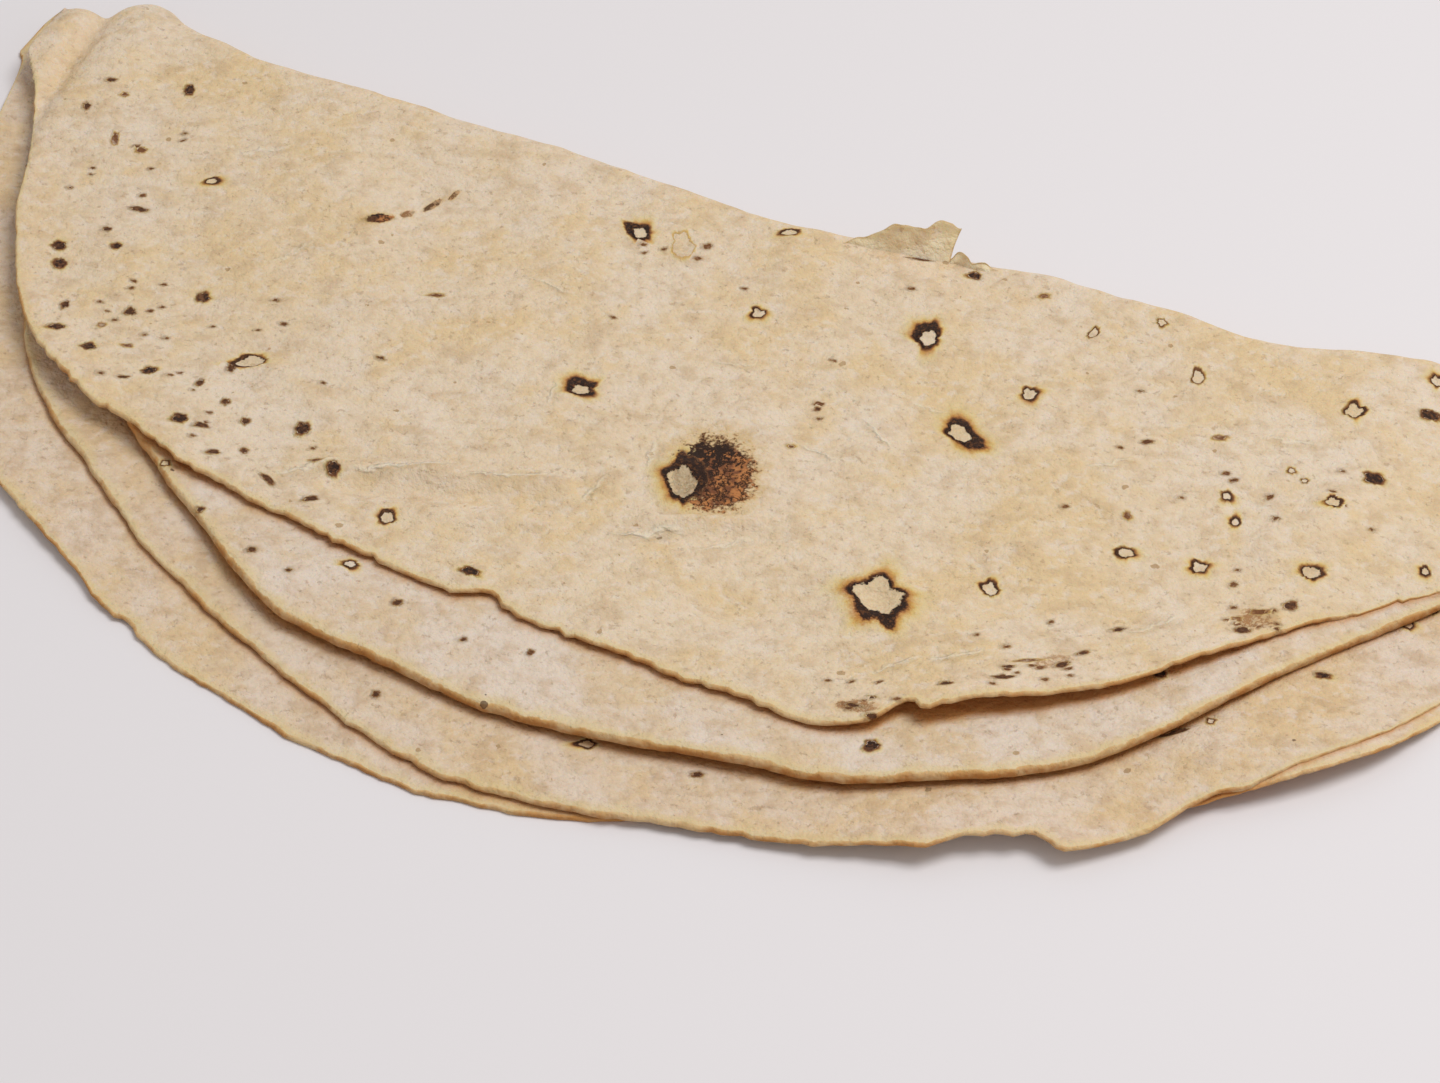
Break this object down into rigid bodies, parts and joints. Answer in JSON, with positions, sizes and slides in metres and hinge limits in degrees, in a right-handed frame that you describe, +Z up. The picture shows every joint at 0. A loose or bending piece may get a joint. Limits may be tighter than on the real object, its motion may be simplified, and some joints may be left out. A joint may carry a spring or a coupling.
{
  "type": "folded thin pita bread",
  "caption": "Large thin pocket pita folded in half and lying flat; its two baked skins have come apart along the front, so the open rims fan out",
  "frame": {"origin": "the middle of the bounding box, on the underside that rests on the table", "axes": "+X along the fold towards the end where the skins are still joined, +Y back towards the fold, +Z up"},
  "size_m": [0.2852, 0.1478, 0.014],
  "materials": {
    "bread": "matte floury crust, cream to tan, with scorched blisters"
  },
  "bodies": {
    "root": {"pita_bread": "bread"}
  },
  "joints": []
}
